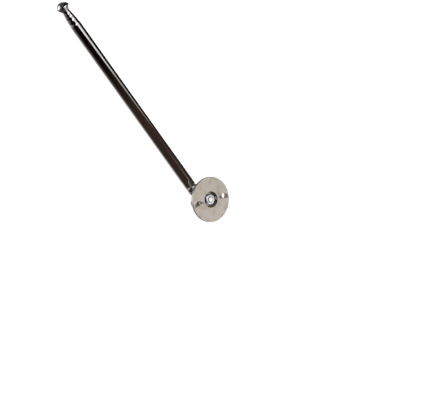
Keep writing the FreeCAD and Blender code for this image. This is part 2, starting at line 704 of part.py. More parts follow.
pieces = [rosette(), swivel_bush(), solder_lug(), wave_washer(), swivel_fork()]
pieces.append(ring("stem_washer", FORK_FRAME, RING_BORE, RING_RADIUS, WASHER_FOOT, WAVE_FOOT))
pieces.append(hex_nut(
    "stem_nut", FORK_FRAME, "Sizes.stem_nut_flats",
    f"{STEM_RADIUS} + Sizes.thread_clearance", STEM_NUT_FOOT, "Sizes.stem_nut_height",
))
pieces += [pivot_screw(), pivot_spring_washer(), friction_washers()]
pieces.append(hex_nut(
    "pivot_nut", PIVOT_FRAME, "Sizes.pivot_nut_flats",
    f"{SHANK_RADIUS} + Sizes.thread_clearance", PIVOT_NUT_FOOT, "Sizes.pivot_nut_height",
))
pieces.append(knuckle_plug())
pieces += [tube(section) for section in range(1, SECTIONS)]
pieces.append(inner_rod())
pieces += [contact_springs(section) for section in range(2, SECTIONS + 1)]
pieces.append(tip_cap())
doc.recompute()

for item in doc.Objects:
    if "Invalid" in item.State or "Error" in item.State:
        raise RuntimeError(f"{item.Label} failed: {item.State}")
for piece in pieces:
    if piece.Shape.isNull() or not piece.Shape.isValid():
        raise RuntimeError(f"{piece.Label} has no valid shape")
os.makedirs("parts", exist_ok=True)
for piece in pieces:
    piece.Shape.exportStep(os.path.join("parts", f"{piece.Label}.step"))
    count = len(piece.Shape.Solids)
    print(f"{piece.Label}: {count} solid(s), {piece.Shape.Volume:.3f} mm3")
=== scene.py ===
import json
import math
from collections import namedtuple

import bpy
import numpy as np
from bpy.props import FloatProperty, FloatVectorProperty, IntProperty, PointerProperty
from mathutils import Matrix, Vector


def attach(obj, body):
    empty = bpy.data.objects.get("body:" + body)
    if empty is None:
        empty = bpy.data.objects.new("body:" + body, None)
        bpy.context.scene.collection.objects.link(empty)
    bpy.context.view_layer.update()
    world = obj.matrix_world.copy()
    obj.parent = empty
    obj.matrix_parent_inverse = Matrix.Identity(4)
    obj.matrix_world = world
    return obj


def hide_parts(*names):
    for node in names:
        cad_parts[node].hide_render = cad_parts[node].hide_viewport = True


bl_info = {
    "name": "Telescopic Rod Antenna",
    "version": (1, 0, 0),
    "blender": (4, 5, 0),
    "location": "View3D > Sidebar > Antenna",
    "description": "Chromed telescopic mast on a swivel foot, with its studio",
    "category": "Add Mesh",
}

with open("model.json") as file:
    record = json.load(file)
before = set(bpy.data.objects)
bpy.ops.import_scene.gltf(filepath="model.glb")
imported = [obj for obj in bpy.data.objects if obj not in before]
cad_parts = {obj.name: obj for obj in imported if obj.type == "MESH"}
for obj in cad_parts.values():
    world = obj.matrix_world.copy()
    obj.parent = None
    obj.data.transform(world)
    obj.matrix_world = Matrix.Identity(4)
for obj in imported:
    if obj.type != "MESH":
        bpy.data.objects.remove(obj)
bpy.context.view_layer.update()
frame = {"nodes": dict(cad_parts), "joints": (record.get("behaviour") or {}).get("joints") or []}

# The model keeps metres; sizes below are written in millimetres times MM.
MM = 0.001
TURN = 2 * math.pi
SECTIONS = 6
# How far a cutter passes the face that it cuts.
OVERCUT = 1 * MM

# Axes of the frame. The mast's own z runs up it and its x along the pivot screw;
# the fork's z runs out of the panel and its x along the pivot screw.
JOINTS = {joint["name"]: joint for joint in frame["joints"]}
PIVOT = Vector(JOINTS["mast_tilt"]["pos_m"])
UP_MAST = Vector(JOINTS["section_2_slide"]["axis"])
ALONG_PIN = -Vector(JOINTS["mast_tilt"]["axis"])
OUTWARD = Vector(JOINTS["base_swivel"]["axis"])


Reach = namedtuple("Reach", "low high outside inside foot_outside foot_inside")


def axes_at(origin, x_axis, z_axis):
    """Matrix of a right-handed set of axes at a place."""
    y_axis = z_axis.cross(x_axis)
    turn = Matrix((x_axis, y_axis, z_axis)).transposed()
    return Matrix.Translation(origin) @ turn.to_4x4()


MAST = axes_at(PIVOT, ALONG_PIN, UP_MAST)
FORK = axes_at(Vector((0, 0, 0)), ALONG_PIN, OUTWARD)
FOOT = axes_at(Vector((0, 0, 0)), Vector((1, 0, 0)), OUTWARD)
PIN = axes_at(PIVOT, -OUTWARD, ALONG_PIN)


def reach(node, place):
    """Lowest and highest place of a CAD node along an axis, with its largest and smallest
    radius about it, and those of its lower end."""
    mesh = frame["nodes"][node].data
    points = np.empty(len(mesh.vertices) * 3)
    mesh.vertices.foreach_get("co", points)
    inverse = np.array(place.inverted())
    local = points.reshape(-1, 3) @ inverse[:3, :3].T + inverse[:3, 3]
    height, radius = local[:, 2], np.hypot(local[:, 0], local[:, 1])
    end = radius[height < height.min() + 0.01 * MM]
    return Reach(height.min(), height.max(), radius.max(), radius.min(), end.max(), end.min())


SECTION_NODES = [f"tube_{number}" for number in range(1, SECTIONS)] + ["inner_rod"]
SECTION_REACH = [reach(node, MAST) for node in SECTION_NODES]
CAP_REACH = reach("tip_cap", MAST)
PLUG_REACH = reach("knuckle_plug", MAST)
FORK_REACH = reach("swivel_fork", FORK)
FOOT_REACH = reach("rosette", FOOT)
BUSH_REACH = reach("swivel_bush", FOOT)
SCREW_REACH = reach("pivot_screw", PIN)
PIVOT_NUT_REACH = reach("pivot_nut", PIN)
STEM_NUT_REACH = reach("stem_nut", FORK)


def length(size, description):
    """A property for a length, given in millimetres."""
    return FloatProperty(description=description, default=size * MM, unit="LENGTH", precision=5)


def angle(size, description):
    """A property for an angle, given in degrees."""
    return FloatProperty(description=description, default=math.radians(size), subtype="ANGLE")


def colour(code, description):
    """A property for a colour, given as a hex code of sRGB."""
    return FloatVectorProperty(description=description, default=linear(code), size=4,
                               subtype="COLOR")


def linear(code):
    """Linear red, green, blue and alpha of an sRGB hex code."""
    parts = np.array([int(code[place:place + 2], 16) for place in (1, 3, 5)]) / 255
    low = parts / 12.92
    high = ((parts + 0.055) / 1.055) ** 2.4
    return (*np.where(parts <= 0.04045, low, high).tolist(), 1.0)


class AntennaMast(bpy.types.PropertyGroup):
    """Sizes of the mast that show. Its lengths and diameters come from the frame.

    A separate program fitted the mouths' stretch and the cap's outline to the photograph, and
    they are rounded here."""
    mouth: length(2.0, "Stretch of a tube's top that is swaged in")
    mouth_lip: length(0.04, "Flat rim left at the top of a mouth")
    mouth_land: length(0.3, "Straight stretch inside the lip")
    mouth_root: length(0.2, "Rounding inside, where the mouth starts")
    tube_edge: length(0.05, "Rounding of a cut end")
    crimp_height: length(12.0, "From the pivot to the rolled groove")
    crimp_half: length(0.8, "Half the width of the groove")
    crimp_depth: length(0.25, "Depth of the groove")
    crimp_edge: length(0.3, "Rounding of the groove's two edges")
    cap_neck_height: length(0.1, "Straight part of the neck")
    cap_skirt: length(2.7, "Height of the flared underside")
    cap_band: length(0.1, "Height of the straight band at the rim")
    cap_shoulder: length(2.1, "Radius from the band into the crown")
    cap_turn: angle(25, "Turn of the shoulder before the crown")
    cap_well: length(2.3, "Depth of the well that goes over the last mouth")
    cap_fit: length(0.01, "Between the rod and the cap")
    cap_foot_edge: length(0.03, "Rounding of the cap's foot")
    cap_edge: length(0.1, "Rounding at both ends of the underside")
    spigot_fit: length(0.02, "Between the knuckle's spigot and the tube")
    collar_foot: length(6.5, "From the pivot to the knuckle's collar")
    collar_bevel: length(0.4, "Bevel on the collar's lower edge")
    collar_under: length(0.1, "Rounding under the bevel")
    collar_over: length(0.15, "Rounding over the bevel")
    collar_top: length(0.08, "Rounding of the collar's top")
    tongue: length(3.0, "Thickness of the tongue between the ears")
    tongue_width: length(6.0, "Width of the tongue")
    segments: IntProperty(description="Facets round a tube", default=128)


class AntennaFoot(bpy.types.PropertyGroup):
    """Sizes of the foot and fork that show."""
    flange: length(2.6, "Thickness of the flange")
    flange_edge: length(1.0, "Rounding of the flange")
    boss: length(7.4, "Radius of the boss")
    boss_root: length(1.0, "Fillet at the root of the boss")
    boss_edge: length(0.8, "Rounding of the boss")
    recess: length(5.8, "Radius of the recess in the mounting face")
    recess_root: length(0.3, "Fillet at the root of the recess")
    web: length(2.0, "Metal between the recess and the top of the boss")
    fixing_reach: length(11.7, "From the centre to a fixing hole")
    fixing_hole: length(1.7, "Radius of a fixing hole")
    fixing_sink: length(3.1, "Radius of its countersink")
    bush_fit: length(0.02, "Between the bush and its hole")
    bush_edge: length(0.1, "Rounding of the bush's collar")
    bush_rim: length(0.15, "Rounding of its outer top corner")
    fork_gap: length(0.03, "Between the bush and the fork")
    fork_bevel: length(0.4, "Bevel round the foot of the fork")
    fork_under: length(0.1, "Rounding under the bevel")
    fork_over: length(0.3, "Rounding over the bevel")
    slot_half: length(1.93, "Half the width of the fork's slot")
    slot_floor: length(10.11, "From the mounting face to the slot's floor")
    ear_face: length(4.98, "From the middle of the tongue to an ear's flat")
    flat_foot: length(9.26, "From the mounting face to the foot of the flats")
    stem: length(2.0, "Radius of the threaded stem")
    shank_hole: length(1.55, "Radius of the hole for the pivot screw")
    shank: length(1.5, "Radius of the pivot screw")
    head_height: length(1.9, "Height of the screw's head")
    head_under: length(0.1, "Rounding under the head")
    head_over: length(0.45, "Rounding of the head's top")
    driver_half: length(0.4, "Half the width of the screwdriver's slot")
    driver_depth: length(0.9, "Depth of that slot")
    driver_turn: angle(35, "Turn of that slot")
    nut_bevel: length(0.35, "Drop of a nut's faces at its corners")
    nut_chamfer: length(0.15, "Chamfer of a nut's bore")
    fine_edge: length(0.12, "Rounding of a turned or milled edge")
    small_edge: length(0.06, "Rounding of an edge of the screw or a nut")
    thread_pitch: length(0.5, "Pitch of the screw's thread")
    stem_pitch: length(0.7, "Pitch of the stem's thread")
    thread_depth: length(0.17, "Depth of a thread")
    thread_bevel: length(0.3, "Bevel at the end of a thread")
    screw_thread: length(3.1, "Length of the screw's thread")
    stem_thread: length(2.5, "Length of the stem's thread")
    thread_end: length(0.1, "Plain stretch past a thread that is divided as finely")


class AntennaFinish(bpy.types.PropertyGroup):
    """Colours of the finishes."""
    chrome: colour("#C9CACA", "Chrome plate")
    chrome_haze: colour("#A9A5A0", "Chrome plate where it is dulled")
    nickel: colour("#CBC4B6", "Nickel plate")
    nickel_dull: colour("#B3AA9C", "Nickel plate gone dull")
    casting: colour("#A9A296", "Nickel plate over the tumbled casting")
    casting_dull: colour("#8C8579", "Casting where the plate is thin")
    zinc: colour("#B9BDC1", "Bright zinc plate")
    zinc_bloom: colour("#8F9294", "White bloom on zinc plate")
    bronze: colour("#C98F5C", "Rolled phosphor bronze")
    bronze_dark: colour("#7A4F30", "Bronze where it has tarnished")
    tin: colour("#BDBBB2", "Dipped tin")
    tin_dull: colour("#94948E", "Tin gone dull")
    nylon: colour("#DCD6C4", "Natural nylon")
    nylon_shade: colour("#C4B99E", "Nylon where it has picked up dirt")
    floor: colour("#F9F9F8", "Painted studio floor")
    floor_shade: colour("#F5F5F4", "Floor where the paint lies thicker")


class AntennaStage(bpy.types.PropertyGroup):
    """Camera, floor and lights.

    A separate least-squares program fitted the camera and the low part of the room to the
    photograph."""
    camera_place: FloatVectorProperty(
        description="Where the camera stands", default=(-0.70307, -0.95733, 0.19900),
        unit="LENGTH",
    )
    camera_yaw: angle(36.401, "Look, from out of the panel toward the right")
    camera_pitch: angle(9.584, "Look, below the horizon")
    camera_roll: angle(10.540, "Lean of the upright in the picture, to the left")
    lens: FloatProperty(description="Focal length", default=139.70, unit="CAMERA")
    sensor: FloatProperty(description="Width of the sensor", default=36, unit="CAMERA")
    lit_height: length(155.0, "Place up the mast that the lights face")
    lamp_distance: length(500.0, "From the mast to each lamp")
    room_white: FloatProperty(description="Radiance of the room, save in metal", default=1.3)
    room_dark: colour("#0E0603", "Room in reflections, away from lights")
    room_low: colour("#41322A", "Room in reflections, below the mast")
    room_pale: colour("#FBFAFF", "Bright parts in reflections")
    low_from: angle(10.5, "Down the mast, where the low part of the room starts")
    low_full: angle(14, "Down the mast, where the low part is full")
    strip_top: angle(18, "Down the mast, where the strip of panels starts")
    strip_top_full: angle(25, "Down the mast, from where the strip is full")
    strip_foot_full: angle(36, "Down the mast, up to where the strip is full")
    strip_foot: angle(46, "Down the mast, where the strip ends")
    floor_height: length(-950.0, "Of the floor, from the foot's centre")
    floor_half: length(6000.0, "Half the width of the floor")


# Meshes


def arc(start, end, height, count):
    """Points of a circular arc between two places of a profile, both ends among them.

    height is the arc's rise over the middle of its chord, to the right of the way there.
    The radius is (half chord squared + height squared) / (2 height).
    """
    start, end = np.array(start, float), np.array(end, float)
    half = np.linalg.norm(end - start) / 2
    along = (end - start) / (2 * half)
    right = np.array([along[1], -along[0]])
    radius = (half**2 + height**2) / (2 * height)
    half_turn = math.asin(min(half / abs(radius), 1.0))
    if abs(height) > half:
        half_turn = math.pi - half_turn
    turn = np.linspace(-half_turn, half_turn, count)
    centre = (start + end) / 2 + right * (height - radius)
    across = abs(radius) * np.sin(turn)
    rise = radius * np.cos(turn)
    return centre + np.outer(across, along) + np.outer(rise, right)


def fillet(before, corner, after, radius, count=7):
    """Points of the arc of that radius that touches both sides of a corner.

    It starts radius / tan(half the corner's angle) from the corner.
    """
    to_before = (before - corner) / np.linalg.norm(before - corner)
    to_after = (after - corner) / np.linalg.norm(after - corner)
    half = math.acos(np.clip(to_before @ to_after, -1, 1)) / 2
    reach_back = radius / math.tan(half)
    first = corner + to_before * reach_back
    last = corner + to_after * reach_back
    middle = (first + last) / 2
    rise = radius / math.sin(half) - radius
    nearest = corner + (middle - corner) / np.linalg.norm(middle - corner) * rise
    height = np.linalg.norm(nearest - middle)
    cross = to_before[0] * to_after[1] - to_before[1] * to_after[0]
    return arc(first, last, height if cross < 0 else -height, count)


def profile(*items, closed=True, guard=0.04 * MM):
    """A profile from corners and runs of points.

    An item is a corner (distance from the axis, height, rounding) or an array of points.
    A straight run longer than six guards gets a point at one guard from each end, so that
    shading stays true along it.
    """
    ends = [np.atleast_2d(np.array(item, float)[..., :2]) for item in items]
    runs = []
    for index, item in enumerate(items):
        rounding = item[2] if isinstance(item, tuple) and len(item) > 2 else 0
        if rounding:
            before, after = ends[index - 1][-1], ends[(index + 1) % len(items)][0]
            runs.append(fillet(before, ends[index][0], after, rounding))
        else:
            runs.append(ends[index])
    points = np.vstack(runs)
    following = np.roll(points, -1, axis=0)
    step = np.linalg.norm(following - points, axis=1)
    far = step > 6 * guard
    if not closed:
        far[-1] = False
    share = guard / np.where(far, step, 1)
    near_start = points + (following - points) * share[:, None]
    near_end = following - (following - points) * share[:, None]
    row = np.stack([points, near_start, near_end], axis=1)
    keep = np.stack([step > 0, far, far], axis=1)
    if not closed:
        keep[-1, 0] = True
    return row[keep]


def grid_faces(rows, columns, closed_columns):
    """Four-sided faces of a grid whose rows close on themselves."""
    number = np.arange(rows * columns).reshape(rows, columns)
    following = np.roll(number, -1, axis=0)
    if closed_columns:
        up, following_up = np.roll(number, -1, axis=1), np.roll(following, -1, axis=1)
    else:
        up, following_up = number[:, 1:], following[:, 1:]
        number, following = number[:, :-1], following[:, :-1]
    return np.stack([number, following, following_up, up], axis=-1).reshape(-1, 4)


def turned(across, height, segments, poles=False):
    """Points and faces of a surface turned from a profile.

    A point at distance r from the axis and height h goes to (r cos a, r sin a, h), with a
    in equal steps round a full turn. across and height may differ from angle to angle.
    With poles, the profile's first and last points lie on the axis and become one each.
    """
    turn = np.linspace(0, TURN, segments, endpoint=False)[:, None]
    shape = (segments, np.shape(across)[-1])
    across, height = np.broadcast_to(across, shape), np.broadcast_to(height, shape)
    points = np.stack([across * np.cos(turn), across * np.sin(turn), height], axis=-1)
    if not poles:
        return points.reshape(-1, 3), grid_faces(*shape, closed_columns=True).tolist()
    inside = points[:, 1:-1].reshape(-1, 3)
    rows, columns = segments, shape[1] - 2
    faces = grid_faces(rows, columns, closed_columns=False).tolist()
    first, last = len(inside), len(inside) + 1
    near = np.arange(rows) * columns
    far = near + columns - 1
    foot = np.stack([np.full(rows, first), np.roll(near, -1), near], axis=-1)
    top = np.stack([np.full(rows, last), far, np.roll(far, -1)], axis=-1)
    ends = [[0, 0, height[0, 0]], [0, 0, height[0, -1]]]
    return np.vstack([inside, ends]), faces + foot.tolist() + top.tolist()


def threaded(across, height, segments, pitch, depth, low, high):
    """Radii of a profile with a thread on its outside, for every angle.

    Between low and high the radius falls by depth times a triangle wave of
    (height / pitch - angle / full turn), which makes a helical groove.
    """
    turn = np.linspace(0, TURN, segments, endpoint=False)[:, None]
    phase = (height / pitch - turn / TURN) % 1
    groove = depth * (1 - np.abs(2 * phase - 1))
    inside = (height > low) & (height < high) & (across > depth * 2)
    return across - np.where(inside, groove, 0)


def upright(radius, low, high, count):
    """A straight run of points at one radius, close enough together to take a thread."""
    return np.column_stack([np.full(count, radius), np.linspace(low, high, count)])


def bar(radius, low, high):
    """Points and faces of a round bar, which cuts a hole."""
    across, along = profile((0, low), (radius, low), (radius, high), (0, high),
                            closed=False).T
    return turned(across, along, segments=48, poles=True)


def prism(outline, low, high):
    """Points and faces of a flat outline carried straight along x from low to high."""
    outline = np.array(outline, float)
    count = len(outline)
    ends = [np.column_stack([np.full(count, place), outline]) for place in (low, high)]
    number = np.arange(count)
    following = np.roll(number, -1)
    sides = np.stack([number, following, following + count, number + count], axis=-1)
    caps = [number[::-1].tolist(), (number + count).tolist()]
    return np.vstack(ends), sides.tolist() + caps


def box(low, high):
    """Points and faces of a box between two corners."""
    (x0, y0, z0), (x1, y1, z1) = low, high
    return prism([(y0, z0), (y1, z0), (y1, z1), (y0, z1)], x0, x1)


def new_mesh(name, surface, place):
    """An object at the origin whose mesh holds the surface, put at its place."""
    points, faces = surface
    mesh = bpy.data.meshes.new(name)
    mesh.from_pydata(np.asarray(points).tolist(), [], faces)
    mesh.transform(place)
    mesh.validate()
    item = bpy.data.objects.new(name, mesh)
    bpy.context.scene.collection.objects.link(item)
    return item


def settle(item):
    """Applies an object's modifiers to its mesh."""
    bpy.context.view_layer.update()
    graph = bpy.context.evaluated_depsgraph_get()
    rough = item.data
    item.data = bpy.data.meshes.new_from_object(item.evaluated_get(graph))
    item.modifiers.clear()
    bpy.data.meshes.remove(rough)


def combine(item, others, operation):
    """Cuts other objects out of one, or joins them to it, and deletes them."""
    for other in others:
        step = item.modifiers.new(other.name, "BOOLEAN")
        step.object, step.operation, step.solver = other, operation, "EXACT"
    settle(item)
    for other in others:
        mesh = other.data
        bpy.data.objects.remove(other)
        bpy.data.meshes.remove(mesh)


def ease_edges(item, width):
    """Rounds the edges of an object that turn by more than 30 degrees."""
    bevel = item.modifiers.new("edges", "BEVEL")
    bevel.width, bevel.segments, bevel.limit_method = width, 2, "ANGLE"
    bevel.angle_limit, bevel.harden_normals = math.radians(30), True
    bevel.use_clamp_overlap = True
    settle(item)


def finish_piece(item, finish, body, nodes):
    """Shades a piece, gives it its finish and puts it on its body in place of CAD nodes."""
    mesh = item.data
    mesh.polygons.foreach_set("use_smooth", np.ones(len(mesh.polygons), bool))
    mesh.set_sharp_from_angle(angle=math.radians(40))
    mesh.materials.clear()
    mesh.materials.append(finish)
    mesh.name = item.name
    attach(item, body)
    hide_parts(*nodes)


def dress_node(node, finish):
    """Gives a CAD node its finish."""
    materials = frame["nodes"][node].data.materials
    materials.clear()
    materials.append(finish)


# Finishes


def add_node(tree, kind, settings=None, links=None):
    """Adds a node, sets its properties and sockets by name, and links outputs into it."""
    node = tree.nodes.new(kind)
    for name, setting in (settings or {}).items():
        if isinstance(name, str) and hasattr(node, name):
            setattr(node, name, setting)
        else:
            node.inputs[name].default_value = setting
    for name, output in (links or {}).items():
        tree.links.new(output, node.inputs[name])
    return node


def new_finish(name, place):
    """An empty material and the coordinates that its patterns use, on a piece's own axes."""
    material = bpy.data.materials.get(name)
    if material is None:
        material = bpy.data.materials.new(name)
    material.use_nodes = True
    tree = material.node_tree
    tree.nodes.clear()
    source = add_node(tree, "ShaderNodeTexCoord")
    turned_to = add_node(tree, "ShaderNodeMapping", {
        "vector_type": "TEXTURE",
        "Location": place.to_translation(),
        "Rotation": place.to_euler(),
    }, {"Vector": source.outputs["Object"]})
    return material, tree, turned_to.outputs["Vector"]


def metal(name, place, fresh, worn, patch, spread, polish, marks, depth):
    """A bare or plated metal with patches of wear and the marks of how it was made.

    The patches are noise whose grain is patch metres; where it passes from the first value
    of spread to the second, the colour goes from fresh to worn, two of the finish colours,
    and the roughness from the first value of polish to the second. The marks are noise whose
    grain along the piece's own x, y and z is given by marks, and they are depth metres deep.
    """
    colours = bpy.context.scene.antenna_finish
    material, tree, where = new_finish(name, place)
    patches = add_node(tree, "ShaderNodeTexNoise", {"Scale": 1 / patch, "Detail": 4},
                       {"Vector": where})
    wear = add_node(tree, "ShaderNodeMapRange", {
        "interpolation_type": "SMOOTHSTEP", "From Min": spread[0], "From Max": spread[1],
    }, {"Value": patches.outputs["Fac"]})
    tone = add_node(tree, "ShaderNodeMix", {
        "data_type": "RGBA", 6: getattr(colours, fresh), 7: getattr(colours, worn),
    }, {0: wear.outputs["Result"]})
    stretched = add_node(tree, "ShaderNodeMapping", {"Scale": [1 / grain for grain in marks]},
                         {"Vector": where})
    marked = add_node(tree, "ShaderNodeTexNoise", {"Scale": 1, "Detail": 3},
                      {"Vector": stretched.outputs["Vector"]})
    roughness = add_node(tree, "ShaderNodeMapRange", {
        "To Min": polish[0], "To Max": polish[1],
    }, {"Value": wear.outputs["Result"]})
    relief = add_node(tree, "ShaderNodeBump", {"Strength": 1, "Distance": depth},
                      {"Height": marked.outputs["Fac"]})
    surface = add_node(tree, "ShaderNodeBsdfPrincipled", {"Metallic": 1}, {
        "Base Color": tone.outputs[2],
        "Roughness": roughness.outputs["Result"],
        "Normal": relief.outputs["Normal"],
    })
    add_node(tree, "ShaderNodeOutputMaterial", None, {"Surface": surface.outputs["BSDF"]})
    return material


def chrome_on_drawn_brass():
    # Chrome plate on drawn and buffed brass tube: it mirrors the room, with hairlines along
    # the mast from sliding and a faint haze in patches from handling.
    return metal("chrome_on_drawn_brass", MAST, "chrome", "chrome_haze",
                 patch=9 * MM, spread=(0.5, 0.8), polish=(0.04, 0.08),
                 marks=(0.3 * MM, 0.3 * MM, 40 * MM), depth=0.002 * MM)


def nickel_on_turned_brass():
    # Nickel plate on turned brass: warmer than chrome, with fine tool lines round the axis.
    return metal("nickel_on_turned_brass", FORK, "nickel", "nickel_dull",
                 patch=4 * MM, spread=(0.45, 0.8), polish=(0.16, 0.26),
                 marks=(6 * MM, 6 * MM, 0.15 * MM), depth=0.004 * MM)


def nickel_on_zinc_casting():
    # Nickel plate on a zinc casting that was tumbled: satin, with a fine grain all over.
    return metal("nickel_on_zinc_casting", FOOT, "casting", "casting_dull",
                 patch=6 * MM, spread=(0.4, 0.9), polish=(0.34, 0.44),
                 marks=(0.9 * MM, 0.9 * MM, 0.9 * MM), depth=0.004 * MM)


def nickel_on_steel():
    # Nickel plate on turned steel: bright, with lines round the screw.
    return metal("nickel_on_steel", PIN, "nickel", "nickel_dull",
                 patch=1.5 * MM, spread=(0.4, 0.8), polish=(0.17, 0.28),
                 marks=(3 * MM, 3 * MM, 0.12 * MM), depth=0.003 * MM)


def zinc_on_steel():
    # Bright zinc plate on steel: bluish, with a white bloom in patches.
    return metal("zinc_on_steel", FORK, "zinc", "zinc_bloom",
                 patch=1.2 * MM, spread=(0.4, 0.75), polish=(0.24, 0.42),
                 marks=(0.4 * MM, 0.4 * MM, 0.4 * MM), depth=0.005 * MM)


def rolled_phosphor_bronze():
    # Phosphor bronze spring strip: rolled smooth, brown where it has tarnished.
    return metal("rolled_phosphor_bronze", MAST, "bronze", "bronze_dark",
                 patch=2 * MM, spread=(0.4, 0.75), polish=(0.22, 0.38),
                 marks=(0.15 * MM, 0.15 * MM, 6 * MM), depth=0.002 * MM)


def dipped_tin_on_brass():
    # Brass tag dipped in tin: soft grey, with the ripples that the tin set in.
    return metal("dipped_tin_on_brass", FOOT, "tin", "tin_dull",
                 patch=1.5 * MM, spread=(0.4, 0.8), polish=(0.28, 0.42),
                 marks=(1.1 * MM, 1.1 * MM, 1.1 * MM), depth=0.02 * MM)


def moulded_nylon():
    # Natural nylon, moulded: ivory and waxy, a little dirty where it is touched.
    colours = bpy.context.scene.antenna_finish
    material, tree, where = new_finish("moulded_nylon", FOOT)
    dirt = add_node(tree, "ShaderNodeTexNoise", {"Scale": 1 / (2 * MM), "Detail": 4},
                    {"Vector": where})
    tone = add_node(tree, "ShaderNodeMix", {
        "data_type": "RGBA", 6: colours.nylon, 7: colours.nylon_shade,
    }, {0: dirt.outputs["Fac"]})
    roughness = add_node(tree, "ShaderNodeMapRange", {"To Min": 0.38, "To Max": 0.55},
                         {"Value": dirt.outputs["Fac"]})
    skin = add_node(tree, "ShaderNodeTexNoise", {"Scale": 1 / (0.3 * MM), "Detail": 2},
                    {"Vector": where})
    relief = add_node(tree, "ShaderNodeBump", {"Strength": 1, "Distance": 0.008 * MM},
                      {"Height": skin.outputs["Fac"]})
    surface = add_node(tree, "ShaderNodeBsdfPrincipled", {
        "Subsurface Weight": 0.2, "Subsurface Scale": 0.5 * MM,
    }, {
        "Base Color": tone.outputs[2],
        "Roughness": roughness.outputs["Result"],
        "Normal": relief.outputs["Normal"],
    })
    add_node(tree, "ShaderNodeOutputMaterial", None, {"Surface": surface.outputs["BSDF"]})
    return material


def painted_studio_floor():
    # Matt white paint, rolled on: an even pale tone with a soft mottle.
    colours = bpy.context.scene.antenna_finish
    material, tree, where = new_finish("painted_studio_floor", Matrix())
    mottle = add_node(tree, "ShaderNodeTexNoise", {"Scale": 1 / (40 * MM), "Detail": 3},
                      {"Vector": where})
    tone = add_node(tree, "ShaderNodeMix", {
        "data_type": "RGBA", 6: colours.floor, 7: colours.floor_shade,
    }, {0: mottle.outputs["Fac"]})
    surface = add_node(tree, "ShaderNodeBsdfPrincipled", {"Roughness": 0.8},
                       {"Base Color": tone.outputs[2]})
    add_node(tree, "ShaderNodeOutputMaterial", None, {"Surface": surface.outputs["BSDF"]})
    return material


# Pieces


def crimp_run(mast, radius, upward):
    """The rolled groove in a wall of that radius: an arc with its two edges eased."""
    way = 1 if upward else -1
    start = (radius, mast.crimp_height - way * mast.crimp_half)
    end = (radius, mast.crimp_height + way * mast.crimp_half)
    bowed = arc(start, end, -way * mast.crimp_depth, count=17)
    ease = mast.crimp_edge / 4
    bowed[0, 1] -= way * ease
    bowed[-1, 1] += way * ease
    return bowed


class ANTENNA_OT_mast(bpy.types.Operator):
    """Make the tubes and the rod of the mast"""
    bl_idname = "antenna.mast"
    bl_label = "Tubes and Rod"

    def execute(self, context):
        mast = context.scene.antenna_mast
        finish = chrome_on_drawn_brass()
        for number in range(1, SECTIONS):
            size = SECTION_REACH[number - 1]
            foot, top, outside, lip = size.low, size.high, size.outside, size.inside
            inside = size.foot_inside
            shoulder = (outside, top - mast.mouth)
            rim = (lip + mast.mouth_lip, top)
            drop = outside - rim[0]
            chord = math.hypot(drop, mast.mouth)
            bend = (drop**2 + mast.mouth**2) / (2 * drop)
            height = bend - math.sqrt(bend**2 - chord**2 / 4)
            items = [(inside, foot, mast.tube_edge), (outside, foot, mast.tube_edge)]
            if number == 1:
                items.append(crimp_run(mast, outside, upward=True))
            items += [
                arc(shoulder, rim, height, count=13),
                (lip, top),
                (lip, top - mast.mouth_land),
                (inside, top - mast.mouth, mast.mouth_root),
            ]
            if number == 1:
                items.append(crimp_run(mast, inside, upward=False))
            across, along = profile(*items).T
            tube = new_mesh(f"mast_tube_{number}", turned(across, along, mast.segments), MAST)
            finish_piece(tube, finish, f"section_{number}", [f"tube_{number}"])
        foot, top, outside, inside = SECTION_REACH[-1][:4]
        across, along = profile(
            (inside, foot, mast.tube_edge), (outside, foot, mast.tube_edge),
            (outside, top, mast.tube_edge), (inside, top, mast.tube_edge),
        ).T
        rod = new_mesh("mast_rod", turned(across, along, mast.segments), MAST)
        finish_piece(rod, finish, f"section_{SECTIONS}", ["inner_rod"])
        return {"FINISHED"}


class ANTENNA_OT_cap(bpy.types.Operator):
    """Make the cap at the tip of the mast"""
    bl_idname = "antenna.cap"
    bl_label = "Tip Cap"

    def execute(self, context):
        mast = context.scene.antenna_mast
        foot, rim = CAP_REACH.low, CAP_REACH.outside
        well, neck = CAP_REACH.foot_inside, CAP_REACH.foot_outside
        bore = SECTION_REACH[-1].outside + mast.cap_fit
        bore_top, well_top = SECTION_REACH[-1].high + mast.cap_fit, foot + mast.cap_well
        skirt_foot = foot + mast.cap_neck_height
        rim_foot = skirt_foot + mast.cap_skirt
        rim_top = rim_foot + mast.cap_band
        crown_edge = rim - mast.cap_shoulder * (1 - math.cos(mast.cap_turn))
        crown_foot = rim_top + mast.cap_shoulder * math.sin(mast.cap_turn)
        turn = np.linspace(0, mast.cap_turn, 17)
        shoulder = np.column_stack([
            rim - mast.cap_shoulder * (1 - np.cos(turn)),
            rim_top + mast.cap_shoulder * np.sin(turn),
        ])
        crown_radius = crown_edge / math.cos(mast.cap_turn)
        turn = np.linspace(mast.cap_turn, math.pi / 2, 17)[1:]
        crown = np.column_stack([
            crown_radius * np.cos(turn),
            crown_foot + crown_radius * (np.sin(turn) - math.sin(mast.cap_turn)),
        ])
        crown[-1, 0] = 0
        across, along = profile(
            (0, bore_top), (bore, bore_top), (bore, well_top), (well, well_top),
            (well, foot), (neck, foot, mast.cap_foot_edge),
            (neck, skirt_foot, mast.cap_edge), (rim, rim_foot, mast.cap_edge),
            shoulder, crown, closed=False,
        ).T
        cap = new_mesh("mast_cap", turned(across, along, mast.segments, poles=True), MAST)
        finish_piece(cap, chrome_on_drawn_brass(), f"section_{SECTIONS}", ["tip_cap"])
        return {"FINISHED"}


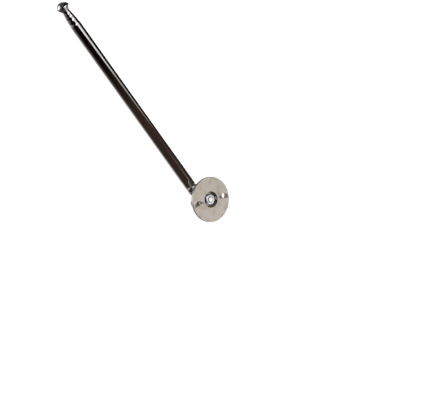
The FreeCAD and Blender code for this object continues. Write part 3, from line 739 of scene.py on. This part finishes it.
class ANTENNA_OT_knuckle(bpy.types.Operator):
    """Make the knuckle that carries the mast between the fork's ears"""
    bl_idname = "antenna.knuckle"
    bl_label = "Knuckle"

    def execute(self, context):
        mast, foot = context.scene.antenna_mast, context.scene.antenna_foot
        tube_foot, collar = SECTION_REACH[0].low, SECTION_REACH[0].outside
        spigot = SECTION_REACH[0].foot_inside - mast.spigot_fit
        plug_top = PLUG_REACH.high
        across, along = profile(
            (0, mast.collar_foot),
            (collar - mast.collar_bevel, mast.collar_foot, mast.collar_under),
            (collar, mast.collar_foot + mast.collar_bevel, mast.collar_over),
            (collar, tube_foot, mast.collar_top), (spigot - mast.crimp_depth, tube_foot),
            (spigot - mast.crimp_depth, plug_top), (0, plug_top), closed=False,
        ).T
        knuckle = new_mesh("knuckle", turned(across, along, mast.segments, poles=True), MAST)
        half = mast.tongue_width / 2
        turn = np.linspace(-math.pi, 0, 49)
        foot_end = np.column_stack([half * np.cos(turn), half * np.sin(turn)])
        top = mast.collar_foot + mast.collar_bevel
        plate = prism(np.vstack([foot_end, [(half, top), (-half, top)]]),
                      -mast.tongue / 2, mast.tongue / 2)
        combine(knuckle, [new_mesh("tongue", plate, MAST)], "UNION")
        hole = new_mesh("hole", bar(foot.shank_hole, -half, half), PIN)
        combine(knuckle, [hole], "DIFFERENCE")
        ease_edges(knuckle, foot.fine_edge)
        finish_piece(knuckle, nickel_on_turned_brass(), "section_1", ["knuckle_plug"])
        return {"FINISHED"}


class ANTENNA_OT_fork(bpy.types.Operator):
    """Make the fork with its threaded stem"""
    bl_idname = "antenna.fork"
    bl_label = "Fork"

    def execute(self, context):
        foot = context.scene.antenna_foot
        stem_end, outside = FORK_REACH.low, FORK_REACH.outside
        seat = BUSH_REACH.high + foot.fork_gap
        pivot = PIVOT.dot(OUTWARD)
        turn = np.linspace(0, math.pi / 2, 33)
        dome = np.column_stack([outside * np.cos(turn), pivot + outside * np.sin(turn)])
        dome[-1, 0] = 0
        thread_top = stem_end + foot.stem_thread
        across, along = profile(
            (0, stem_end), (foot.stem - foot.thread_bevel, stem_end),
            upright(foot.stem, stem_end + foot.thread_bevel, thread_top + foot.thread_end,
                    count=60),
            (foot.stem, seat), (outside - foot.fork_bevel, seat, foot.fork_under),
            (outside, seat + foot.fork_bevel, foot.fork_over), dome, closed=False,
        ).T
        segments = 144
        across = threaded(across, along, segments, foot.stem_pitch, foot.thread_depth,
                          stem_end, thread_top)
        fork = new_mesh("fork", turned(across, along, segments, poles=True), FORK)
        far = 2 * outside
        cuts = [
            box((-foot.slot_half, -far, foot.slot_floor), (foot.slot_half, far, far + pivot)),
            box((foot.ear_face, -far, foot.flat_foot), (far, far, far + pivot)),
            box((-far, -far, foot.flat_foot), (-foot.ear_face, far, far + pivot)),
        ]
        cutters = [new_mesh(f"cut_{index}", cut, FORK) for index, cut in enumerate(cuts)]
        cutters.append(new_mesh("hole", bar(foot.shank_hole, -far, far), PIN))
        combine(fork, cutters, "DIFFERENCE")
        ease_edges(fork, foot.fine_edge)
        finish_piece(fork, nickel_on_turned_brass(), "swivel", ["swivel_fork"])
        return {"FINISHED"}


class ANTENNA_OT_foot(bpy.types.Operator):
    """Make the round foot and its bush"""
    bl_idname = "antenna.foot"
    bl_label = "Foot and Bush"

    def execute(self, context):
        foot = context.scene.antenna_foot
        boss_top, outside, bush_radius = FOOT_REACH.high, FOOT_REACH.outside, FOOT_REACH.inside
        web_back = boss_top - foot.web
        fine = foot.fine_edge
        across, along = profile(
            (bush_radius, web_back), (foot.recess, web_back, foot.recess_root),
            (foot.recess, 0, fine), (outside, 0, fine),
            (outside, foot.flange, foot.flange_edge),
            (foot.boss, foot.flange, foot.boss_root), (foot.boss, boss_top, foot.boss_edge),
            (bush_radius, boss_top),
        ).T
        rosette = new_mesh("foot", turned(across, along, segments=192), FOOT)
        sink = foot.fixing_sink
        hole = profile(
            (0, -OVERCUT), (foot.fixing_hole, -OVERCUT),
            (foot.fixing_hole, foot.flange - (sink - foot.fixing_hole)),
            (sink, foot.flange), (sink, foot.flange + OVERCUT), (0, foot.flange + OVERCUT),
            closed=False,
        )
        cutters = []
        for side in (-1, 1):
            at = FOOT @ Matrix.Translation((side * foot.fixing_reach, 0, 0))
            cutters.append(new_mesh("hole", turned(*hole.T, segments=64, poles=True), at))
        combine(rosette, cutters, "DIFFERENCE")
        ease_edges(rosette, fine)
        finish_piece(rosette, nickel_on_zinc_casting(), "base", ["rosette"])
        low, high, collar, bore = BUSH_REACH[:4]
        barrel = bush_radius - foot.bush_fit
        across, along = profile(
            (bore, low), (barrel, low), (barrel, boss_top), (collar, boss_top, foot.bush_edge),
            (collar, high, foot.bush_rim), (bore, high, foot.bush_edge),
        ).T
        bush = new_mesh("bush", turned(across, along, segments=128), FOOT)
        finish_piece(bush, moulded_nylon(), "base", ["swivel_bush"])
        return {"FINISHED"}


def nut_surface(low, high, corner, bore, bevel, chamfer):
    """Points and faces of a hexagon nut with turned corners.

    At angle a the side lies at flat / cos(a folded to within 30 degrees of a flat), and
    the top is lower there by bevel times its share of the way from the flat to the corner.
    """
    segments = 192
    flat = corner * math.cos(math.pi / 6)
    turn = np.linspace(0, TURN, segments, endpoint=False)
    folded = (turn % (TURN / 6)) - TURN / 12
    side = flat / np.cos(folded)
    drop = bevel * (side - flat) / (corner - flat)
    same = np.ones(segments)
    across = [bore * same, (bore + chamfer) * same, flat * same, side, side, flat * same,
              (bore + chamfer) * same, bore * same]
    height = [(low + chamfer) * same, low * same, low * same, low + drop, high - drop,
              high * same, high * same, (high - chamfer) * same]
    return turned(np.column_stack(across), np.column_stack(height), segments)


class ANTENNA_OT_fasteners(bpy.types.Operator):
    """Make the pivot screw and the nuts, and dress the washers"""
    bl_idname = "antenna.fasteners"
    bl_label = "Screw, Nuts and Washers"

    def execute(self, context):
        foot = context.scene.antenna_foot
        end, top, head = SCREW_REACH[:3]
        seat, thread_top = top - foot.head_height, end + foot.screw_thread
        across, along = profile(
            (0, end), (foot.shank - foot.thread_bevel, end),
            upright(foot.shank, end + foot.thread_bevel, thread_top + foot.thread_end,
                    count=90),
            (foot.shank, seat), (head, seat, foot.head_under), (head, top, foot.head_over),
            (0, top), closed=False,
        ).T
        segments = 96
        across = threaded(across, along, segments, foot.thread_pitch, foot.thread_depth,
                          end, thread_top)
        screw = new_mesh("slotted_screw", turned(across, along, segments, poles=True), PIN)
        slot = box((-foot.driver_half, -head - OVERCUT, top - foot.driver_depth),
                   (foot.driver_half, head + OVERCUT, top + OVERCUT))
        at = PIN @ Matrix.Rotation(foot.driver_turn, 4, "Z")
        combine(screw, [new_mesh("slot", slot, at)], "DIFFERENCE")
        ease_edges(screw, foot.small_edge)
        steel, zinc = nickel_on_steel(), zinc_on_steel()
        finish_piece(screw, steel, "swivel", ["pivot_screw"])
        for node, place, size, finish, slot in (
            ("pivot_nut", PIN, PIVOT_NUT_REACH, steel, "nickelled_steel"),
            ("stem_nut", FORK, STEM_NUT_REACH, zinc, "zinc_plated_steel"),
        ):
            surface = nut_surface(*size[:4], foot.nut_bevel, foot.nut_chamfer)
            nut = new_mesh(f"{node}_hexagon", surface, place)
            ease_edges(nut, foot.small_edge)
            finish_piece(nut, finish, "swivel", [node])
        dress_node("stem_washer", zinc)
        bronze = rolled_phosphor_bronze()
        for node in ("wave_washer", "pivot_spring_washer", "friction_washers"):
            dress_node(node, bronze)
        for number in range(2, SECTIONS + 1):
            dress_node(f"contact_springs_{number}", bronze)
        dress_node("solder_lug", dipped_tin_on_brass())
        return {"FINISHED"}


def add_light(name, place, wide, tall, radiance):
    """A soft light that the camera doesn't see. Its power is radiance times pi times area."""
    lamp = bpy.data.lights.new(name, "AREA")
    lamp.shape, lamp.size, lamp.size_y = "RECTANGLE", wide, tall
    lamp.energy = radiance * math.pi * wide * tall
    item = bpy.data.objects.new(name, lamp)
    item.matrix_world = place
    item.visible_camera = False
    bpy.context.scene.collection.objects.link(item)


# Places are given by their turn round the mast, from the camera to the right, and their rise
# up the mast, in degrees. Lamps have a roll about the way they face, in degrees, and a width
# and height in millimetres. These numbers weren't chosen by hand: a separate least-squares
# program fitted them to the photograph, and they are rounded here.
SoftLamp = namedtuple("SoftLamp", "turn rise roll wide tall radiance")
SOFT_LAMPS = {
    "key": SoftLamp(33.6, 9.7, 11, 500, 160, 1.83),
    "fill": SoftLamp(52.3, 2.4, -17, 534, 355, 0.61),
    "low": SoftLamp(45.7, -9.3, -14.3, 287, 60, 0.88),
}

# Bright parts of the room, as the metal shows them. Each ends at the angle edge from its
# middle and is full up to the angle core. The same kind of program fitted the first six, which
# are rounded or moved a little here. The last two are given. The names are guesses.
BrightPart = namedtuple("BrightPart", "turn rise edge core radiance")
ROOM_LIGHTS = {
    "window high on the left": BrightPart(-107, 39, 36, 1, 1.65),
    "wall round it": BrightPart(-80, 32, 49, 28, 0.24),
    "wall under it": BrightPart(-133, 2, 41, 15, 0.62),
    "low on the right": BrightPart(48, -46, 33, 8, 2.4),
    "wall behind": BrightPart(160, 28, 36, 24, 0.24),
    "floor behind": BrightPart(173, -62, 43, 22, 0.36),
    "ceiling": BrightPart(20, 78, 42, 15, 0.08),
    "window high behind": BrightPart(162, 34, 22, 6, 0.5),
}

# Pale panels in a strip low round the room, which show in views from the back and the sides.
ROOM_PANELS = {
    "panel on the left": BrightPart(-72, -30, 52, 16, 1.0),
    "panel behind": BrightPart(140, -30, 38, 12, 0.6),
}


class ANTENNA_OT_stage(bpy.types.Operator):
    """Set up the floor, the lights and the camera"""
    bl_idname = "antenna.stage"
    bl_label = "Studio"

    def execute(self, context):
        scene, stage = context.scene, context.scene.antenna_stage
        scene.view_settings.view_transform = "Standard"
        half = stage.floor_half
        floor = new_mesh("studio_floor", (
            [(-half, -half, 0), (half, -half, 0), (half, half, 0), (-half, half, 0)],
            [(0, 1, 2, 3)],
        ), Matrix.Translation((0, 0, stage.floor_height)))
        floor.data.materials.append(painted_studio_floor())
        floor.visible_glossy = False
        room = self.room_axes(stage)
        self.light_room(scene, stage, room)
        for name, lamp in SOFT_LAMPS.items():
            place = self.round_mast(room, lamp.turn, lamp.rise, stage.lamp_distance)
            roll = Matrix.Rotation(math.radians(lamp.roll), 4, "Z")
            add_light(name, place @ roll, lamp.wide * MM, lamp.tall * MM, lamp.radiance)
        camera = bpy.data.objects.new("camera", bpy.data.cameras.new("camera"))
        scene.collection.objects.link(camera)
        yaw, pitch, roll = stage.camera_yaw, stage.camera_pitch, stage.camera_roll
        look = Vector((math.sin(yaw) * math.cos(pitch), math.cos(yaw) * math.cos(pitch),
                       -math.sin(pitch)))
        level = Vector((math.cos(yaw), -math.sin(yaw), 0))
        turn = Matrix((level, level.cross(look), -look)).transposed().to_4x4()
        camera.matrix_world = (
            Matrix.Translation(stage.camera_place) @ turn @ Matrix.Rotation(-roll, 4, "Z")
        )
        camera.data.lens, camera.data.sensor_width = stage.lens, stage.sensor
        camera.data.clip_start, camera.data.clip_end = 0.05, 60
        scene.camera = camera
        return {"FINISHED"}

    def room_axes(self, stage):
        """Axes near the top of the mast: x toward the camera and square to the mast, z up it."""
        target = MAST @ Vector((0, 0, stage.lit_height))
        toward = Vector(stage.camera_place) - target
        toward = (toward - toward.dot(UP_MAST) * UP_MAST).normalized()
        return axes_at(target, toward, UP_MAST)

    def round_mast(self, room, turn, rise, distance):
        """Place of a light at a turn and rise in degrees. It faces the mast, its own y up."""
        face = Matrix(((0, 0, 1, 0), (1, 0, 0, 0), (0, 1, 0, 0), (0, 0, 0, 1)))
        sideways = Matrix.Rotation(math.radians(turn), 4, "Z")
        upward = Matrix.Rotation(math.radians(-rise), 4, "Y")
        return room @ sideways @ upward @ Matrix.Translation((distance, 0, 0)) @ face

    def light_room(self, scene, stage, room):
        """The room round the antenna: white to the eye and to dull surfaces. In reflections it
        is dark, browner toward the foot of the mast, with a few soft bright parts."""
        world = bpy.data.worlds.new("room")
        scene.world = world
        world.use_nodes = True
        tree = world.node_tree
        tree.nodes.clear()
        rays = add_node(tree, "ShaderNodeLightPath")
        where = add_node(tree, "ShaderNodeTexCoord").outputs["Generated"]
        down = add_node(tree, "ShaderNodeVectorMath", {
            "operation": "DOT_PRODUCT", 1: -UP_MAST,
        }, {0: where})
        lowness, strip_starts, strip_goes_on = (
            add_node(tree, "ShaderNodeMapRange", {
                "interpolation_type": "SMOOTHSTEP", "To Min": first, "To Max": 1 - first,
                "From Min": math.sin(start), "From Max": math.sin(end),
            }, {"Value": down.outputs["Value"]}).outputs["Result"]
            for start, end, first in (
                (stage.low_from, stage.low_full, 0),
                (stage.strip_top, stage.strip_top_full, 0),
                (stage.strip_foot_full, stage.strip_foot, 1),
            )
        )
        strip = add_node(tree, "ShaderNodeMath", {"operation": "MULTIPLY"}, {
            0: strip_starts, 1: strip_goes_on,
        }).outputs["Value"]
        colour_here = add_node(tree, "ShaderNodeMix", {
            "data_type": "RGBA", 6: stage.room_dark, 7: stage.room_low,
        }, {0: lowness}).outputs[2]
        for part in (*ROOM_LIGHTS.values(), *ROOM_PANELS.values()):
            middle = self.round_mast(room, part.turn, part.rise, 1).to_translation()
            nearness = add_node(tree, "ShaderNodeVectorMath", {
                "operation": "DOT_PRODUCT", 1: middle - room.to_translation(),
            }, {0: where})
            share = add_node(tree, "ShaderNodeMapRange", {
                "interpolation_type": "SMOOTHSTEP", "To Max": part.radiance,
                "From Min": math.cos(math.radians(part.edge)),
                "From Max": math.cos(math.radians(part.core)),
            }, {"Value": nearness.outputs["Value"]}).outputs["Result"]
            if part in ROOM_PANELS.values():
                share = add_node(tree, "ShaderNodeMath", {"operation": "MULTIPLY"}, {
                    0: strip, 1: share,
                }).outputs["Value"]
            colour_here = add_node(tree, "ShaderNodeMix", {
                "data_type": "RGBA", "blend_type": "ADD", "clamp_factor": False,
                7: stage.room_pale,
            }, {0: share, 6: colour_here}).outputs[2]
        reflected = add_node(tree, "ShaderNodeBackground", None, {"Color": colour_here})
        white = add_node(tree, "ShaderNodeBackground", {
            "Color": linear("#FFFFFF"), "Strength": stage.room_white,
        })
        choice = add_node(tree, "ShaderNodeMixShader", None, {
            0: rays.outputs["Is Glossy Ray"],
            1: white.outputs["Background"],
            2: reflected.outputs["Background"],
        })
        add_node(tree, "ShaderNodeOutputWorld", None, {"Surface": choice.outputs["Shader"]})


class ANTENNA_PT_panel(bpy.types.Panel):
    """Lists the pieces of the antenna"""
    bl_label = "Telescopic Rod Antenna"
    bl_idname = "ANTENNA_PT_panel"
    bl_space_type = "VIEW_3D"
    bl_region_type = "UI"
    bl_category = "Antenna"

    def draw(self, context):
        for operator in OPERATORS:
            self.layout.operator(operator.bl_idname)
        for name in GROUPS:
            group = getattr(context.scene, name)
            rows = self.layout.box()
            for prop in group.bl_rna.properties:
                if prop.identifier not in ("rna_type", "name"):
                    label = prop.identifier.replace("_", " ").capitalize()
                    rows.prop(group, prop.identifier, text=label)


GROUPS = {
    "antenna_mast": AntennaMast,
    "antenna_foot": AntennaFoot,
    "antenna_finish": AntennaFinish,
    "antenna_stage": AntennaStage,
}
OPERATORS = (
    ANTENNA_OT_mast,
    ANTENNA_OT_cap,
    ANTENNA_OT_knuckle,
    ANTENNA_OT_fork,
    ANTENNA_OT_foot,
    ANTENNA_OT_fasteners,
    ANTENNA_OT_stage,
)


def register():
    for kind in (*GROUPS.values(), *OPERATORS, ANTENNA_PT_panel):
        bpy.utils.register_class(kind)
    for name, kind in GROUPS.items():
        setattr(bpy.types.Scene, name, PointerProperty(type=kind))


def unregister():
    for name in GROUPS:
        delattr(bpy.types.Scene, name)
    for kind in reversed((*GROUPS.values(), *OPERATORS, ANTENNA_PT_panel)):
        bpy.utils.unregister_class(kind)


def main():
    """Makes the whole antenna and its studio."""
    register()
    bpy.ops.antenna.mast()
    bpy.ops.antenna.cap()
    bpy.ops.antenna.knuckle()
    bpy.ops.antenna.fork()
    bpy.ops.antenna.foot()
    bpy.ops.antenna.fasteners()
    bpy.ops.antenna.stage()


if __name__ == "__main__":
    main()
